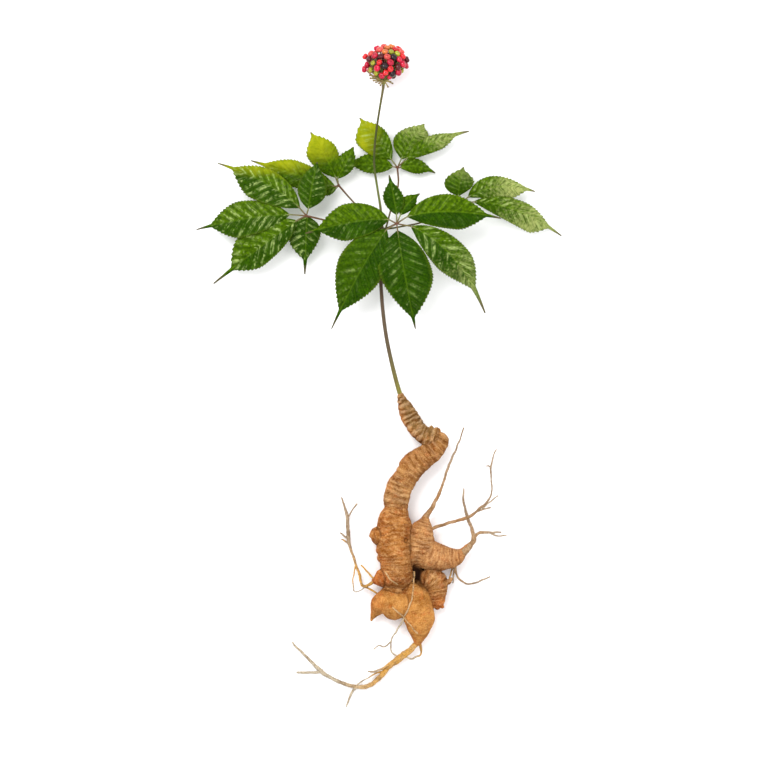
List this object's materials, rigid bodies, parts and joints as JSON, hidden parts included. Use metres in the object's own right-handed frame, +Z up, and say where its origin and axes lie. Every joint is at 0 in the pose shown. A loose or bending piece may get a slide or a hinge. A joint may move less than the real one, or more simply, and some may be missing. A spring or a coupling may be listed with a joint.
{
  "type": "ginseng plant with root",
  "caption": "Whole ginseng plant lying flat: forked ringed root with rootlets, slim stem, toothed palmate leaves and a round head of berries.",
  "frame": {"origin": "on the surface that the plant lies on, under the middle of the plant's box", "axes": "+Y up the plant from the root's tail to the berries, +Z up from the surface, +X to the right in the picture"},
  "size_m": [0.3679, 0.6654, 0.0674],
  "materials": {
    "root_skin": "matte, ringed and finely wrinkled",
    "stem_skin": "satin, olive to grey-brown",
    "leaf_blade": "satin green with pleated veins",
    "berry_skin": "glossy red"
  },
  "bodies": {
    "root": {"ginseng_root": "root_skin", "stem": "stem_skin", "leaf_front": "leaf_blade", "leaf_left": "leaf_blade", "leaf_left_back": "leaf_blade", "leaf_back": "leaf_blade", "leaf_right": "leaf_blade", "berry_head": "berry_skin"}
  },
  "joints": []
}
